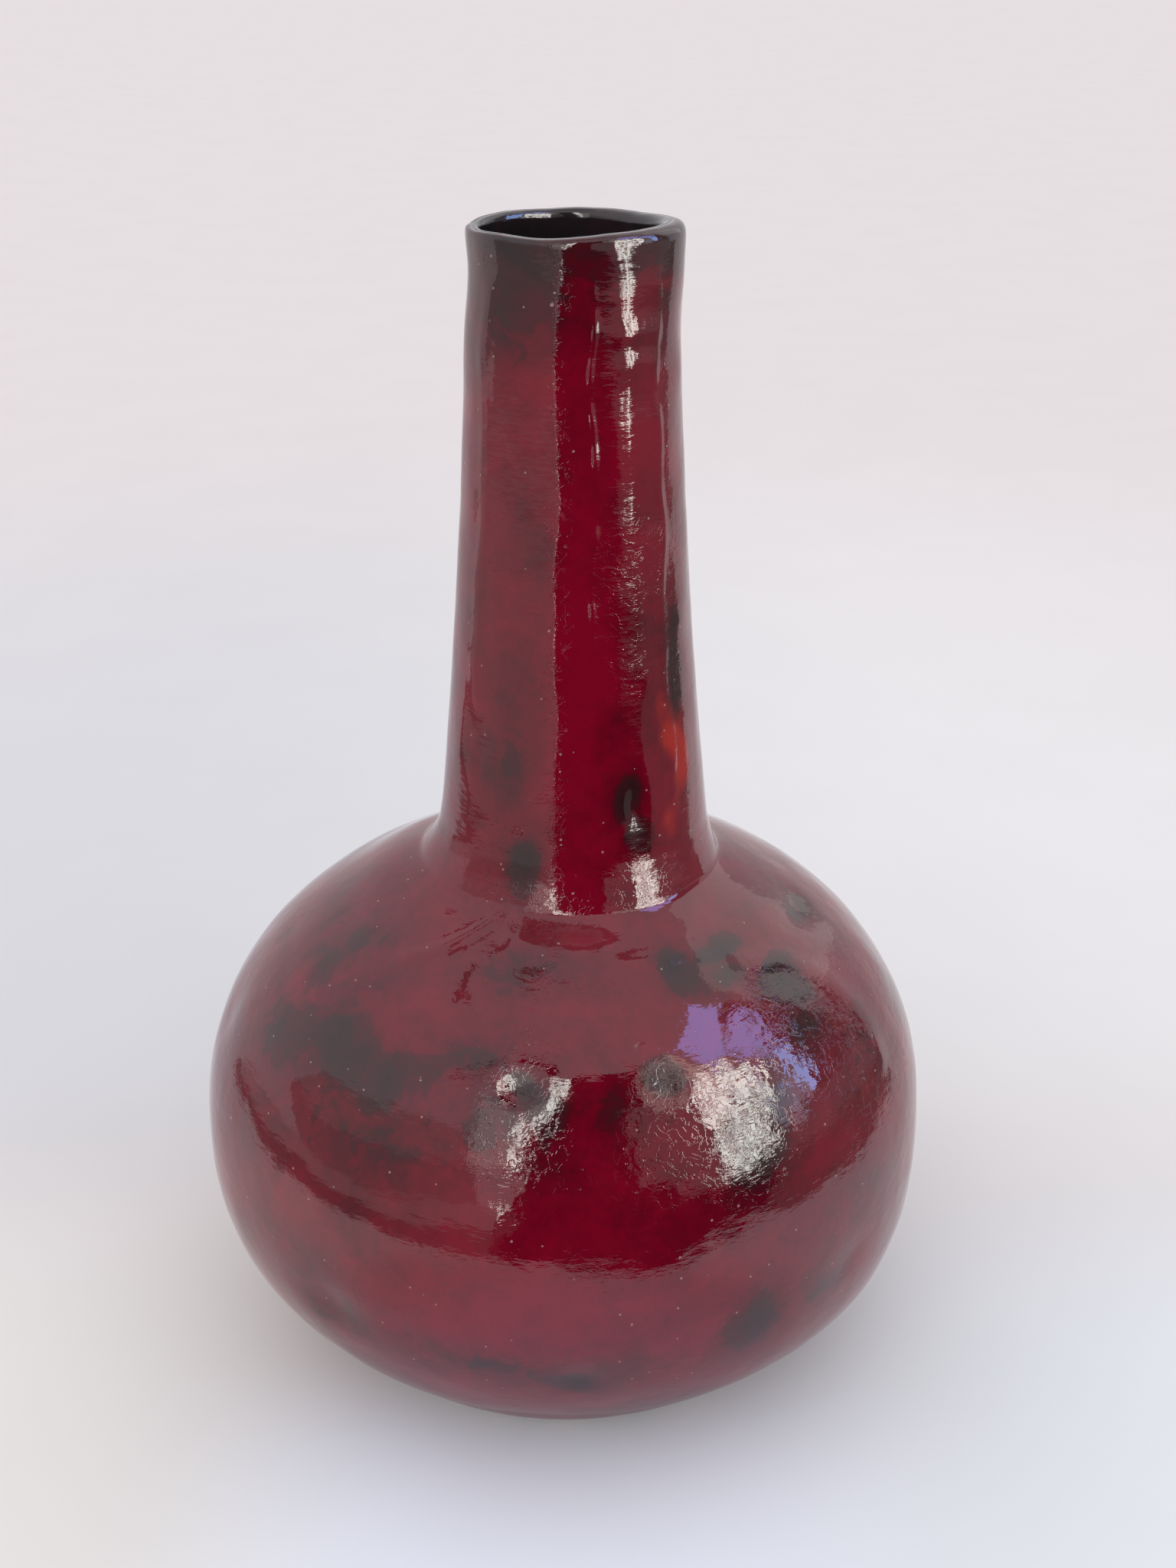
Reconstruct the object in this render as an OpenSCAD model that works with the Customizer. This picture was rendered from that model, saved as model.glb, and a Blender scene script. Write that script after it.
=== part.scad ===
// Bottle vase built from joined clay pieces under two glaze coats.
// The origin is the centre of the flat foot, +Z points up and +X to the right of the front view.
// Sizes are in millimetres.

/* [Overall] */
// Height from the table to the highest point of the lip
height = 280; // [250:1:320]
// Width of the belly at its widest ring, over the glaze
belly_w = 175; // [150:1:200]
// Height of the widest ring
belly_z = 61; // [52:1:72]
// Width of the flat foot
foot_w = 94; // [80:1:110]

/* [Belly] */
// Roundness of the curve below the widest ring, 2 being an ellipse
bowl_round = 2; // [1.8:0.05:2.4]
// Height at which the curve of the shoulder would close without a neck
dome_close_z = 134; // [131:0.5:145]
// Roundness of the curve above the widest ring, 2 being an ellipse
dome_round = 2.3; // [2:0.05:2.6]
// Depth of the two opposite flats of the belly, which is slightly oval
oval = 2; // [0:0.1:4]
// Direction of the longer axis of the oval
oval_turn = 5; // [0:5:90]
// Height of the three soft lobes left by the potter's hands
lobe = 0.6; // [0:0.1:1.5]
// Direction of the first lobe
lobe_turn = 80; // [0:5:120]
// Extra swell on the right side of the lower bowl
swell = 4.4; // [0:0.2:6]
// Height of the middle of the swell
swell_z = 22; // [16:1:40]
// Distance up and down over which the swell dies out
swell_spread = 24; // [12:1:36]

/* [Neck] */
// Width of the neck at its root
neck_root_w = 62.5; // [56:0.5:70]
// Height at which the neck starts to taper
neck_root_z = 141.5; // [137:0.5:148]
// Width of the neck at the mouth
mouth_w = 44.5; // [38:0.5:54]
// How much the taper slows towards the mouth, 1 being a straight cone
neck_curve = 1.6; // [1:0.1:2]
// Distance of the neck's axis to the right of the foot's axis
neck_shift = 2.7; // [0:0.1:5]
// Height at which the axis starts to move over
shift_z = 116; // [104:1:120]
// Width of the soft blend between the shoulder and the neck
root_blend = 18; // [12:1:26]
// How far the foot of the neck spreads where the collar is smoothed over the shoulder
collar_flare = 7; // [4:0.5:9]
// Height over which that spread dies out
flare_rise = 22; // [18:1:26]

/* [Lip] */
// Height of the coil that forms the lip
lip_h = 18; // [12:1:26]
// Height over which the edge of the lip rounds over
lip_round = 2.4; // [1.6:0.1:5]
// Squareness of the edge of the lip, 1 being a half ellipse and less being squarer
lip_edge = 0.65; // [0.5:0.05:1]
// Depth of the dip in the lip
lip_dip = 1.3; // [0:0.1:2]
// Direction of the dip, at the back on the right
lip_dip_turn = 50; // [0:5:180]

/* [Clay] */
// Thickness of the clay wall at the foot
foot_wall = 6.5; // [5:0.5:8]
// Thickness of the clay wall at the lip
lip_wall = 3.4; // [3:0.1:5]
// Thickness of the round slab that closes the bottom
slab_h = 5; // [4:0.5:7]
// Radius of the rounded lower edge of the slab
slab_edge = 1.2; // [0.6:0.1:2]
// Height of the soft ring that joins the shoulder to the neck
collar_h = 20; // [17:1:24]
// Height of the underside of that ring
collar_z = 122; // [118:1:125]
// Height of the coil pressed into the corner between slab and wall
floor_coil_h = 12; // [8:1:16]
// Width of that coil on the slab
floor_coil_w = 7; // [5:0.5:9]
// Half height of the coil pressed over the widest seam, inside
seam_coil_h = 9; // [6:1:12]
// Thickness of that coil at its middle
seam_coil_t = 2.6; // [1.5:0.1:4]

/* [Glaze] */
// Thickness of the glaze, outside and inside
glaze = 0.5; // [0.3:0.1:0.8]

/* [Hidden] */

clay_colour = [0.80, 0.71, 0.60];
soft_clay_colour = [0.70, 0.60, 0.50];
liner_colour = [0.12, 0.08, 0.09];
glaze_colour = [0.48, 0.06, 0.10];

// Points round each ring, and steps between the rings of each piece
sides = 40;
floor_steps = 2;
bowl_steps = 4;
seam_steps = 2;
dome_steps = 6;
collar_steps = 5;
neck_steps = 3;
edge_steps = 2;
slab_edge_steps = 4;

// Radii of the plain outline, and where its curves close
belly_r = belly_w / 2;
foot_r = foot_w / 2;
neck_root_r = neck_root_w / 2;
mouth_r = mouth_w / 2;
bowl_drop = belly_z / pow(1 - pow(foot_r / belly_r, bowl_round), 1 / bowl_round);
dome_rise = dome_close_z - belly_z;

// Heights of the seams between the pieces
collar_top_z = collar_z + collar_h;
lip_z = height - lip_h;
edge_z = height - lip_round - glaze;
floor_z = slab_h + glaze;

// The lumps fade in over the first part of the lower bowl, above the true round slab
settle_h = floor_coil_h;

// The faces of the layered wall, from the outside in
GLAZED = 0;
CLAY = 1;
BORE = 2;
LINED = 3;
WET = 4;

// A smooth rise from 0 to 1 as x passes from 0 to 1
function ease(x) = let (t = min(1, max(0, x))) t * t * (3 - 2 * t);

// The larger of two radii, with their corner filled by a blend of the given width
function blend(a, b, width) =
    let (meet = max(0, width - abs(a - b)))
    max(a, b) + meet * meet / (4 * width);

// Thickness of the clay wall at a height
function wall(h) = foot_wall + (lip_wall - foot_wall) * h / height;

// Distance of a face of the wall from the outside of the glaze, where no coil lies on it
function depth(face, h) =
    (face >= CLAY ? glaze : 0)
    + (face >= BORE ? wall(h) : 0)
    + (face >= WET ? glaze : 0);

// How far the coils reach inward from the wall at a height
function floor_coil_at(h) = floor_coil_w * pow(max(0, 1 - (h - slab_h) / floor_coil_h), 2);
function seam_coil_at(h) = seam_coil_t * max(0, 1 - pow((h - belly_z) / seam_coil_h, 2));
function coils(face, h) = face >= LINED ? floor_coil_at(h) + seam_coil_at(h) : 0;

// Radius of the belly alone, a rounded lower curve and a rounded upper one
function belly_at(h, in) =
    let (
        low = h < belly_z,
        reach = (low ? bowl_drop : dome_rise) - in,
        round = low ? bowl_round : dome_round,
        t = min(1, abs(h - belly_z) / reach)
    )
    (belly_r - in) * pow(1 - pow(t, round), 1 / round);

// Radius of the neck alone, a slow taper that spreads at its foot
function flare_at(h) = collar_flare * (1 - ease((h - collar_z) / flare_rise));
function neck_at(h, in) =
    let (t = max(0, h - neck_root_z) / (height - neck_root_z))
    mouth_r - in + (neck_root_r - mouth_r) * pow(max(0, 1 - t), neck_curve) + flare_at(h);

// Radius of the plain outline on one face
function outline_at(face, h) =
    let (
        in = depth(face, h),
        belly = belly_at(h, in)
    )
    h < belly_z ? belly : blend(belly, neck_at(h, in), root_blend);

// How far the hand-formed wall stands proud of the plain outline
function lump(a, h) =
    let (
        size_share = outline_at(GLAZED, h) / belly_r,
        side = max(0, cos(a)),
        swell_share = side * side * exp(-pow((h - swell_z) / swell_spread, 2))
    )
    ease((h - slab_h) / settle_h)
    * (size_share * (oval * cos(2 * (a - oval_turn)) + lobe * cos(3 * (a - lobe_turn)))
        + swell * swell_share);

// The axis of the vase moves over between the shoulder and the neck
function axis_x(h) = neck_shift * ease((h - shift_z) / (neck_root_z - shift_z));

// How far the lip dips at an angle and a height
function dip(a, h) =
    let (near = max(0, cos(a - lip_dip_turn)))
    lip_dip * near * near * ease((h - lip_z) / lip_h);

function spot(a, r, h) = [axis_x(h) + r * cos(a), r * sin(a), h - dip(a, h)];

// A ring of points on one face of the wall
function ring(face, h) = [
    for (i = [0:sides - 1])
        let (a = 360 * i / sides)
        spot(a, outline_at(face, h) - coils(face, h) + lump(a, h), h)
];

function rings(face, heights) = [for (h = heights) ring(face, h)];

// A ring on the rounded edge of the lip: turn 0 is its outside, 90 its crest and 180 its inside
function edge_ring(turn, cover) =
    let (
        half = wall(edge_z) / 2,
        middle = outline_at(CLAY, edge_z) - half,
        c = cos(turn),
        out = (half + cover) * sign(c) * pow(abs(c), lip_edge),
        h = edge_z + (lip_round + cover) * pow(sin(turn), lip_edge)
    )
    [
        for (i = [0:sides - 1])
            let (a = 360 * i / sides)
            spot(a, middle + out + lump(a, edge_z), h)
    ];

function edge_rings(turns, cover) = [for (turn = turns) edge_ring(turn, cover)];

function backwards(list) = [for (i = [len(list) - 1:-1:0]) list[i]];

// Evenly spaced heights, the last one left out
function steps(low, high, count) = [for (i = [0:count - 1]) low + (high - low) * i / count];

// Heights that crowd towards the top, where the shoulder curves in, the last one left out
function crowded(low, high, count) = [
    for (i = [0:count - 1]) low + (high - low) * sin(90 * i / count)
];

// Heights of the rings of each piece
floor_coil_zs = steps(slab_h, slab_h + floor_coil_h, floor_steps);
seam_low_zs = steps(belly_z - seam_coil_h, belly_z, seam_steps);
seam_high_zs = steps(belly_z, belly_z + seam_coil_h, seam_steps);
bowl_zs = concat(
    floor_coil_zs,
    steps(slab_h + floor_coil_h, belly_z - seam_coil_h, bowl_steps),
    seam_low_zs
);
dome_zs = concat(seam_high_zs, crowded(belly_z + seam_coil_h, collar_z, dome_steps));
collar_zs = steps(collar_z, collar_top_z, collar_steps);
neck_zs = steps(collar_top_z, lip_z, neck_steps);
body_zs = concat(bowl_zs, dome_zs, collar_zs, neck_zs, [lip_z]);
outer_turns = [for (i = [0:edge_steps]) 90 * i / edge_steps];
inner_turns = [for (i = [0:edge_steps]) 90 + 90 * i / edge_steps];

// Two triangles for each pair of neighbours in two rings. The shared edge always climbs the
// same way, so that two pieces that meet have the same faces.
function band(low, high, rising) = [
    for (i = [0:sides - 1])
        let (
            j = (i + 1) % sides,
            a = low + i,
            b = low + j,
            c = high + j,
            d = high + i
        )
        each (rising ? [[a, c, b], [a, d, c]] : [[a, d, b], [b, d, c]])
];

// A solid ring whose section runs through the given rings, up its outside and down its inside
module closed_wall(loop) {
    count = len(loop);
    faces = [
        for (k = [0:count - 1])
            let (next = (k + 1) % count)
            each band(k * sides, next * sides, loop[k][0].z <= loop[next][0].z)
    ];
    polyhedron(points = [for (r = loop) each r], faces = faces, convexity = 6);
}

// The same with a floor: the first ring bounds its underside and the last ring its top
module floored_wall(chain) {
    count = len(chain);
    last = (count - 1) * sides;
    sheet = [
        for (k = [0:count - 2])
            each band(k * sides, (k + 1) * sides, chain[k][0].z <= chain[k + 1][0].z)
    ];
    under = [for (i = [0:sides - 1]) i];
    over = [for (i = [sides - 1:-1:0]) last + i];
    polyhedron(
        points = [for (r = chain) each r],
        faces = concat(sheet, [under, over]),
        convexity = 6
    );
}

// A piece of clay wall between two seams
module wall_piece(heights, top) {
    hs = concat(heights, [top]);
    closed_wall(concat(rings(CLAY, hs), backwards(rings(BORE, hs))));
}

module foot_slab() {
    top_r = outline_at(CLAY, slab_h);
    corner = [
        for (i = [0:slab_edge_steps])
            let (a = 90 * i / slab_edge_steps - 90)
            [foot_r - slab_edge + slab_edge * cos(a), slab_edge + slab_edge * sin(a)]
    ];
    color(clay_colour)
        rotate_extrude($fn = 96)
        polygon(concat([[0, 0]], corner, [[top_r, slab_h], [0, slab_h]]));
}

module floor_coil() {
    tip = ring(BORE, slab_h + floor_coil_h);
    color(soft_clay_colour)
        closed_wall(concat(
            rings(BORE, floor_coil_zs),
            [tip],
            backwards(rings(LINED, floor_coil_zs))
        ));
}

module lower_bowl() {
    color(clay_colour)
        wall_piece(bowl_zs, belly_z);
}

module seam_coil() {
    low_tip = belly_z - seam_coil_h;
    high_tip = belly_z + seam_coil_h;
    zs = [for (h = concat(seam_low_zs, seam_high_zs)) if (h > low_tip) h];
    color(soft_clay_colour)
        closed_wall(concat(
            [ring(BORE, low_tip)],
            rings(BORE, zs),
            [ring(BORE, high_tip)],
            backwards(rings(LINED, zs))
        ));
}

module shoulder_dome() {
    color(clay_colour)
        wall_piece(dome_zs, collar_z);
}

module neck_collar() {
    color(soft_clay_colour)
        wall_piece(collar_zs, collar_top_z);
}

module neck_tube() {
    color(clay_colour)
        wall_piece(neck_zs, lip_z);
}

module lip_coil() {
    turns = concat(outer_turns, [for (i = [1:edge_steps]) inner_turns[i]]);
    color(soft_clay_colour)
        closed_wall(concat(
            [ring(CLAY, lip_z)],
            edge_rings(turns, 0),
            [ring(BORE, lip_z)]
        ));
}

module liner_glaze() {
    color(liner_colour)
        floored_wall(concat(
            rings(LINED, body_zs),
            edge_rings(backwards(inner_turns), 0),
            edge_rings(inner_turns, glaze),
            backwards(rings(WET, [for (h = body_zs) if (h > floor_z) h])),
            [ring(WET, floor_z)]
        ));
}

module outer_glaze() {
    color(glaze_colour)
        closed_wall(concat(
            rings(GLAZED, body_zs),
            edge_rings(outer_turns, glaze),
            edge_rings(backwards(outer_turns), 0),
            backwards(rings(CLAY, body_zs))
        ));
}

foot_slab();
floor_coil();
lower_bowl();
seam_coil();
shoulder_dome();
neck_collar();
neck_tube();
lip_coil();
liner_glaze();
outer_glaze();
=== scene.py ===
"""Hand-built bottle vase under a glossy, mottled dark red glaze, on a pale sheet.

Lengths are in millimetres, apart from those of the stage, and meshes are made in metres.
The plain outline repeats the construction's own sizes, and the marks of the hand lie on it.
"""

import math

import bpy
import numpy as np
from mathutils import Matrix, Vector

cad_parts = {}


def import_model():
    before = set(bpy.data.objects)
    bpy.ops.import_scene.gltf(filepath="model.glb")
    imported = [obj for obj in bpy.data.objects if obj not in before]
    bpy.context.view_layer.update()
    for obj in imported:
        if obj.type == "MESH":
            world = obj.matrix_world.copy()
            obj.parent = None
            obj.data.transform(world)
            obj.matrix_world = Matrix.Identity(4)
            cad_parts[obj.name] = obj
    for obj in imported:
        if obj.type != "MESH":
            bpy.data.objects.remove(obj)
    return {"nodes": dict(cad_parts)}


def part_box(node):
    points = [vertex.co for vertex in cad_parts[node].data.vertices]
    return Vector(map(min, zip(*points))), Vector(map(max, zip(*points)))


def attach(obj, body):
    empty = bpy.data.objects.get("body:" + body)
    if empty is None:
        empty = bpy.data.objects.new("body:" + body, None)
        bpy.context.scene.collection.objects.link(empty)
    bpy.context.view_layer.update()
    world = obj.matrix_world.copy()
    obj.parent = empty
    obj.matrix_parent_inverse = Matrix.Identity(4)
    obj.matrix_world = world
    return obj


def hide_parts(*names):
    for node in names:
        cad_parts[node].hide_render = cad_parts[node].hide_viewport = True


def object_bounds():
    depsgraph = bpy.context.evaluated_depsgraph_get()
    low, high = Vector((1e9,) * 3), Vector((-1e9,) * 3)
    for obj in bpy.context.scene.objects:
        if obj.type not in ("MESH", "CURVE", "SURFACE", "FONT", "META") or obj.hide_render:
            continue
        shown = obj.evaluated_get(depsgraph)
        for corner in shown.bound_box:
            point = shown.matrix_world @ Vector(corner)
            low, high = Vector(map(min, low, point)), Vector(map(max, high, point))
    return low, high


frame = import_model()
cad_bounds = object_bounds()

MM = 0.001


def low_z(node):
    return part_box(node)[0].z / MM


def high_z(node):
    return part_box(node)[1].z / MM


# Heights of the seams, from the frame
HEIGHT = cad_bounds[1][2] / MM
SLAB_H = high_z("foot_slab")
BELLY_Z = high_z("lower_bowl")
COLLAR_Z = low_z("neck_collar")
COLLAR_TOP_Z = high_z("neck_collar")
LIP_Z = low_z("lip_coil")
FLOOR_COIL_H = high_z("floor_coil") - SLAB_H
SEAM_COIL_H = high_z("seam_coil") - BELLY_Z

# The plain outline
BELLY_R = 87.5
FOOT_R = 47.0
BOWL_ROUND = 2.0
DOME_CLOSE_Z = 134.0
DOME_ROUND = 2.3
NECK_ROOT_R = 31.25
NECK_ROOT_Z = 141.5
MOUTH_R = 22.25
NECK_CURVE = 1.6
NECK_SHIFT = 2.7
SHIFT_Z = 116.0
ROOT_BLEND = 18.0
COLLAR_FLARE = 7.0
FLARE_RISE = 22.0

# The broad irregularities of the belly
OVAL = 2.0
OVAL_TURN = 5.0
LOBE = 0.6
LOBE_TURN = 80.0
SWELL = 4.4
SWELL_Z = 22.0
SWELL_SPREAD = 24.0

# The lip
LIP_ROUND = 2.4
LIP_EDGE = 0.65
LIP_DIP = 1.3
LIP_DIP_TURN = 50.0
LIP_CORNER = 0.35
LIP_CORNER_TURN = -3.0
LIP_TWIST = 0.12
LIP_TWIST_TURN = -40.0
RIM_WAVE = 0.3

# Thicknesses
FOOT_WALL = 6.5
LIP_WALL = 3.4
FLOOR_COIL_W = 7.0
SEAM_COIL_T = 2.6
GLAZE = 0.5

# Fineness of the meshes
SIDES = 600
RING_STEP = 0.85
EDGE_STEPS = 20
FLOOR_RINGS = 24
FLOOR_LAST = 0.02
BORE_RINGS = 24
HEIGHT_STEPS = 4000
PLACE_STEPS = 6000

# Under the glaze, only every few points and rings are kept
COARSE = 4
COARSE_ROWS = 3
COARSE_LIP_ROWS = 2

# How deep the clay lies under the glaze's face, and the slack inside the construction's box
CLAY_UNDER = 0.95
BOX_SLACK = 0.01

BOWL_DROP = BELLY_Z / (1 - (FOOT_R / BELLY_R) ** BOWL_ROUND) ** (1 / BOWL_ROUND)
DOME_RISE = DOME_CLOSE_Z - BELLY_Z
EDGE_Z = HEIGHT - LIP_ROUND - GLAZE
ANGLES = np.arange(SIDES) * 360.0 / SIDES


def cosd(a):
    return np.cos(np.radians(a))


def sind(a):
    return np.sin(np.radians(a))


def ease(x):
    t = np.clip(x, 0, 1)
    return t * t * (3 - 2 * t)


def turn_from(a, middle):
    """Signed turn in degrees from one direction to another, from -180 to 180."""
    return (a - middle + 180) % 360 - 180


def above_foot(h):
    """Share of the belly's own form, from 0 at the slab to 1 above the coil on the floor."""
    return ease((h - SLAB_H) / FLOOR_COIL_H)


def at_lip(h):
    """Share of the lip's own form, from 0 at its foot to 1 at the top."""
    return ease((h - LIP_Z) / (HEIGHT - LIP_Z))


def wall(h):
    """Thickness of the clay wall, which thins towards the lip."""
    return FOOT_WALL + (LIP_WALL - FOOT_WALL) * h / HEIGHT


def coils(h):
    """Thickness of the coils on the inside of the wall."""
    floor = FLOOR_COIL_W * np.clip(1 - (h - SLAB_H) / FLOOR_COIL_H, 0, None) ** 2
    seam = SEAM_COIL_T * np.clip(1 - ((h - BELLY_Z) / SEAM_COIL_H) ** 2, 0, None)
    return floor + seam


def outline(h, depth):
    """Radius of the plain outline at a height, on a face that lies this deep in the wall."""
    h = np.asarray(h, float)
    low = h < BELLY_Z
    reach = np.where(low, BOWL_DROP, DOME_RISE) - depth
    power = np.where(low, BOWL_ROUND, DOME_ROUND)
    t = np.clip(np.abs(h - BELLY_Z) / reach, 0, 1)
    belly = (BELLY_R - depth) * (1 - t**power) ** (1 / power)
    t = np.clip((h - NECK_ROOT_Z) / (HEIGHT - NECK_ROOT_Z), 0, 1)
    flare = COLLAR_FLARE * (1 - ease((h - COLLAR_Z) / FLARE_RISE))
    neck = MOUTH_R - depth + (NECK_ROOT_R - MOUTH_R) * (1 - t) ** NECK_CURVE + flare
    meet = np.clip(ROOT_BLEND - np.abs(belly - neck), 0, None)
    blended = np.maximum(belly, neck) + meet * meet / (4 * ROOT_BLEND)
    return np.where(low, belly, blended)


def lump(a, h):
    """How far the wall stands proud of the plain outline: the oval, the lobes and the swell."""
    size_share = outline(h, 0) / BELLY_R
    side = np.clip(cosd(a), 0, None)
    swell = SWELL * side**2 * np.exp(-(((h - SWELL_Z) / SWELL_SPREAD) ** 2))
    lobes = OVAL * cosd(2 * (a - OVAL_TURN)) + LOBE * cosd(3 * (a - LOBE_TURN))
    corners = LIP_CORNER * cosd(4 * (a - LIP_CORNER_TURN))
    corners = corners + LIP_TWIST * cosd(3 * (a - LIP_TWIST_TURN))
    return above_foot(h) * (size_share * lobes + swell) + at_lip(h) * corners


def axis_x(h):
    """Where the middle of the vase lies at a height: the neck stands a little to the right."""
    return NECK_SHIFT * ease((h - SHIFT_Z) / (NECK_ROOT_Z - SHIFT_Z))


def dip(a, h):
    """How far the rim lies below the plain height."""
    near = np.clip(cosd(a - LIP_DIP_TURN), 0, None)
    wave = RIM_WAVE * (1 + sind(3 * a + 20) * sind(2 * a - 50))
    return (LIP_DIP * near**2 + wave) * at_lip(h)


def spots_on(a, r, h):
    """Points at angle a, radius r and height h, round the vase's own axis."""
    a, r, h = np.broadcast_arrays(a, r, h)
    return np.stack([axis_x(h) + r * cosd(a), r * sind(a), h - dip(a, h)], -1)


def lattice_noise(points, size, seed):
    """Smooth noise from -1 to 1 at points in millimetres, with features of about this size."""
    cells = 32
    past_zero = 100.5
    table = np.random.default_rng(seed).uniform(-1, 1, (cells, cells, cells))
    p = points / size + past_zero
    base = np.floor(p).astype(int)
    f = p - base
    f = f * f * (3 - 2 * f)
    total = np.zeros(points.shape[:-1])
    for corner in np.ndindex(2, 2, 2):
        near = np.where(corner, f, 1 - f)
        cell = (base + corner) % cells
        share = near[..., 0] * near[..., 1] * near[..., 2]
        total += share * table[cell[..., 0], cell[..., 1], cell[..., 2]]
    return total


def arc_run(heights, depth):
    """Distance along the outline from the first of these heights to each of them."""
    r = outline(heights, depth)
    return np.concatenate([[0], np.cumsum(np.hypot(np.diff(heights), np.diff(r)))])


def arc_heights(low, high, depth, step):
    """Heights from low to high whose rings are evenly spaced along the outline."""
    fine = np.linspace(low, high, HEIGHT_STEPS)
    run = arc_run(fine, depth)
    count = max(2, int(round(run[-1] / step)))
    return np.interp(np.linspace(0, run[-1], count + 1), run, fine)


def arc_place(h):
    """Distance along the outline from the slab up to a height."""
    fine = np.linspace(SLAB_H, HEIGHT, PLACE_STEPS)
    return np.interp(h, fine, arc_run(fine, 0))


# Small hollows, pressed in or left by burst bubbles: angle, height, width, length and depth
DENTS = {
    "upper_right_a": (-61, 125.0, 9.0, 7.0, 0.14),
    "upper_right_b": (-44, 123.4, 14.0, 8.5, 0.22),
    "upper_right_c": (-34, 118.4, 9.0, 6.5, 0.30),
    "by_the_window": (-71, 109.2, 8.0, 7.0, 0.45),
    "by_the_shade": (-97.5, 109.6, 8.5, 7.0, 0.8),
    "far_left": (-119, 109.5, 5.0, 4.0, 0.3),
    "small_front": (-74, 115.0, 4.0, 3.5, 0.3),
    "low_front": (-87, 41.0, 12.0, 12.0, 0.7),
    "top_right": (-10, 121.5, 14.0, 9.0, 0.9),
    "low_left": (-128, 50.0, 18.0, 14.0, 1.1),
    "low_right": (-40, 55.0, 16.0, 12.0, 0.7),
    "edge_left": (-170, 96.0, 16.0, 18.0, 0.7),
    "neck_pit": (-62, 156.0, 5.0, 11.0, 0.75),
    "neck_left_pit": (-139, 168.0, 6.0, 12.0, 0.35),
    "back_high": (75, 118.0, 9.0, 8.0, 1.0),
    "back_left": (118, 104.0, 8.0, 8.0, 0.8),
    "back_low": (96, 44.0, 14.0, 12.0, 0.9),
    "back_right": (42, 92.0, 9.0, 8.0, 0.7),
    "back_neck": (88, 176.0, 5.0, 9.0, 0.5),
}

# Soft swellings: angle, height, width, length and rise
BUMPS = {
    "left_root": (168, 130.0, 44.0, 26.0, 1.9),
    "root_fill": (-60, 137.0, 24.0, 14.0, 0.5),
    "window_seat": (-60, 97.0, 24.0, 26.0, 0.5),
    "neck_window": (-60, 247.0, 18.0, 40.0, 0.5),
    "left_cheek": (-128, 84.0, 34.0, 28.0, 0.6),
    "back_cheek": (100, 80.0, 30.0, 26.0, 0.6),
    "back_root": (100, 136.0, 24.0, 12.0, 0.7),
    "neck_low_left": (-150, 164.0, 10.0, 16.0, 0.4),
    "neck_right_knot": (-12, 250.0, 9.0, 10.0, 0.3),
    "by_neck_window_a": (-51, 260.0, 11.0, 5.0, 0.42),
    "by_neck_window_b": (-51, 254.0, 11.0, 6.0, 0.42),
    "neck_right_a": (-36, 236.0, 9.0, 14.0, 0.30),
    "neck_right_b": (-44, 214.0, 8.0, 10.0, 0.28),
    "neck_right_c": (-30, 196.0, 9.0, 12.0, 0.32),
    "neck_right_d": (-50, 186.0, 7.0, 9.0, 0.26),
    "neck_front_a": (-72, 205.0, 6.0, 9.0, 0.16),
    "neck_front_b": (-70, 180.0, 6.0, 8.0, 0.18),
    "lip_left": (-178, 279.0, 5.0, 6.0, 0.15),
    "lip_right": (-4, 279.0, 5.0, 6.0, 0.1),
}

# Raised folds where the clay was smoothed over: a path of angles and heights, width and rise
FOLDS = {
    "right_shoulder": (((-42, 122.5), (-31, 119.5), (-25, 113), (-23, 104), (-25, 95)), 7.0, 0.42),
    "front_shoulder": (((-82, 126.5), (-66, 126.5), (-52, 125.5)), 4.0, 0.22),
    "crescent": (((-106, 129.6), (-93, 129.0), (-80, 128.6)), 8.0, 0.5),
    "left_streak": (((-134, 124), (-126, 127), (-117, 131.5)), 4.0, 0.30),
    "back_shoulder": (((60, 122), (78, 124.5), (98, 122), (112, 113)), 6.0, 0.6),
}

# Thin runs of glaze down the neck: angle, width, rise, lowest and highest point, and beading
RUNS = {
    "shade_edge": (-98.5, 2.0, 0.19, 150, 268, 0.6),
    "middle": (-78.5, 0.7, 0.36, 226, 271, 0.85),
    "middle_mid": (-79.5, 0.8, 0.34, 186, 222, 0.9),
    "middle_low": (-84, 0.8, 0.20, 146, 176, 1.0),
    "right": (-41, 1.3, 0.36, 150, 276, 0.4),
    "right_low": (-47, 0.8, 0.16, 138, 172, 1.0),
    "left": (-142, 1.8, 0.24, 142, 272, 0.4),
    "back_a": (12, 1.6, 0.22, 142, 274, 0.5),
    "back_b": (64, 0.9, 0.34, 160, 262, 0.8),
    "back_c": (108, 1.4, 0.22, 144, 276, 0.6),
    "back_d": (158, 0.9, 0.30, 180, 266, 0.8),
}

# The tube of the neck leans a little near the lip
LEAN = 0.85
LEAN_Z = 252.0
LEAN_RISE = 20.0

# The wall spreads slightly just under the lip
SPREAD = 0.15
SPREAD_Z = 271.0
SPREAD_RISE = 7.0

# Unevenness of the wall: height in millimetres, size of its features and a seed
BROAD = (0.42, 34.0, 11)
MEDIUM = (0.15, 14.0, 12)
SMALL = (0.075, 8.0, 13)
FINE = (0.032, 4.2, 15)
LIP_LUMPS = (0.18, 11.0, 14)
LIP_LUMPS_RISE = 12.0

# Glaze drawn down the neck: height, width and length of its features, and a seed
WIDE_STREAKS = (0.13, 8.0, 46.0, 16)
THIN_STREAKS = (0.045, 3.2, 15.0, 17)

# Where the neck's streaks take over, and how much of the belly's unevenness ends there
NECK_MARKS_Z = COLLAR_TOP_Z - 8.0
NECK_MARKS_RISE = 22.0
NECK_CALM = 0.72

# The marks lie this far in, on the belly and everywhere, to stay inside the construction's box
SET_IN_BELLY = 0.15
SET_IN = 0.2

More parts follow.
